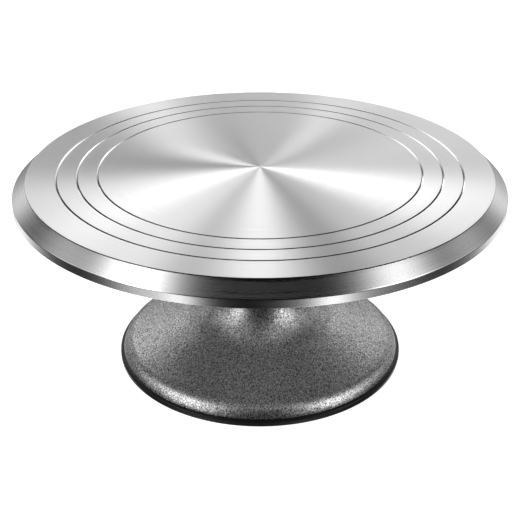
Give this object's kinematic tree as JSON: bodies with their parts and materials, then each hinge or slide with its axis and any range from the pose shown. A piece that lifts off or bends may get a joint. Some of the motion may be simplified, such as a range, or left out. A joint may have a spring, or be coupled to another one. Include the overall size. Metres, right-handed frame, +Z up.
{
  "type": "cake turntable",
  "caption": "Revolving cake turntable: a turned metal plate with guide grooves on a cast trumpet pedestal with a rubber foot ring.",
  "frame": {"origin": "centre of the foot ring's underside, where the turning axis meets the table", "axes": "+Z up along the turning axis; the camera that the object is shown from looks along +Y with +X to its right"},
  "size_m": [0.305, 0.305, 0.13],
  "materials": {
    "plate": "face-turned, bright",
    "powder_coat": "silver-grey hammer powder coat, finely speckled",
    "rubber": "moulded, satin black",
    "flange": "turned",
    "ground_steel": "ground",
    "bearing_steel": "ground and polished",
    "ball_steel": "polished",
    "cage_brass": "machined",
    "shield_steel": "pressed sheet, satin",
    "zinc_steel": "zinc plated",
    "clip_steel": "phosphated spring steel",
    "screws": "black oxide"
  },
  "bodies": {
    "pedestal": {"pedestal": "powder_coat", "foot_ring": "rubber", "upper_outer_race": "bearing_steel", "lower_outer_race": "bearing_steel", "upper_bearing_shields": "shield_steel", "lower_bearing_shields": "shield_steel", "bearing_circlip": "clip_steel"},
    "turntable": {"turntable_plate": "plate", "hub_flange": "flange", "hub_screws": "screws", "hub_screw_washers": "zinc_steel", "spindle": "ground_steel", "spindle_washer": "zinc_steel", "spindle_nut": "zinc_steel", "spacer_sleeve": "ground_steel", "end_washer": "zinc_steel", "end_spring_washer": "zinc_steel", "end_bolt": "zinc_steel", "dust_seal": "rubber", "upper_inner_race": "bearing_steel", "lower_inner_race": "bearing_steel"},
    "upper_cage": {"upper_bearing_cage": "cage_brass", "upper_bearing_balls": "ball_steel"},
    "lower_cage": {"lower_bearing_cage": "cage_brass", "lower_bearing_balls": "ball_steel"}
  },
  "joints": [
    {"name": "turntable_spin", "type": "hinge", "parent": "pedestal", "child": "turntable", "pos_m": [0, 0, 0.099], "axis": [0, 0, 1], "continuous": true},
    {"name": "upper_cage_orbit", "type": "hinge", "parent": "pedestal", "child": "upper_cage", "pos_m": [0, 0, 0.099], "axis": [0, 0, 1], "continuous": true},
    {"name": "lower_cage_orbit", "type": "hinge", "parent": "pedestal", "child": "lower_cage", "pos_m": [0, 0, 0.055], "axis": [0, 0, 1], "continuous": true}
  ],
  "couplings": [
    {"joint": "upper_cage_orbit", "follows": "turntable_spin", "ratio": 0.3976},
    {"joint": "lower_cage_orbit", "follows": "turntable_spin", "ratio": 0.3976}
  ]
}
